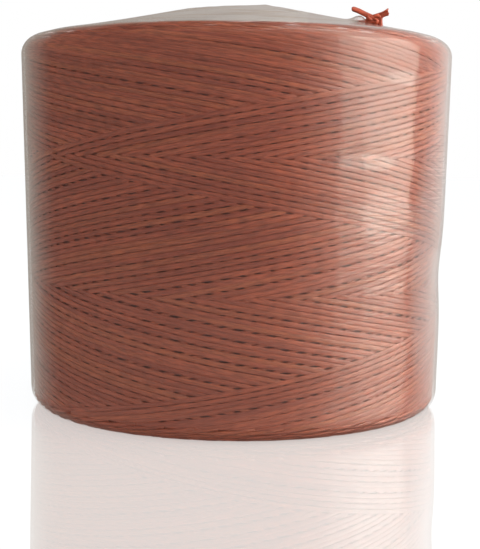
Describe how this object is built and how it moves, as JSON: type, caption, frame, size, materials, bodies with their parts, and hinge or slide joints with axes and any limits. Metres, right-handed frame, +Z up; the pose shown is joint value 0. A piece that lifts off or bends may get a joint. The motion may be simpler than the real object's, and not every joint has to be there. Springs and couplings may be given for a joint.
{
  "type": "waxed thread spool",
  "caption": "Cross-wound spool of flat waxed thread on a board core tube, in a clear shrink wrap, with a knotted loose end.",
  "frame": {"origin": "centre of the base, on the surface that the spool stands on", "axes": "+Z up along the core tube, -Y towards the front, with the knotted end at the front right"},
  "size_m": [0.09, 0.09, 0.0825],
  "materials": {
    "waxed_thread": "flat waxed polyester thread, satin sheen",
    "waxed_thread_end": "bare waxed thread outside the wrap, satin",
    "core_board": "spiral-wound grey-brown board, matt",
    "clear_film": "clear heat-shrunk film, glossy"
  },
  "bodies": {
    "root": {"core_tube": "core_board", "wound_body": "waxed_thread", "outer_winding": "waxed_thread", "thread_tail": "waxed_thread", "tail_knot": "waxed_thread_end", "tail_end_left": "waxed_thread_end", "tail_end_right": "waxed_thread_end", "shrink_film": "clear_film"}
  },
  "joints": []
}
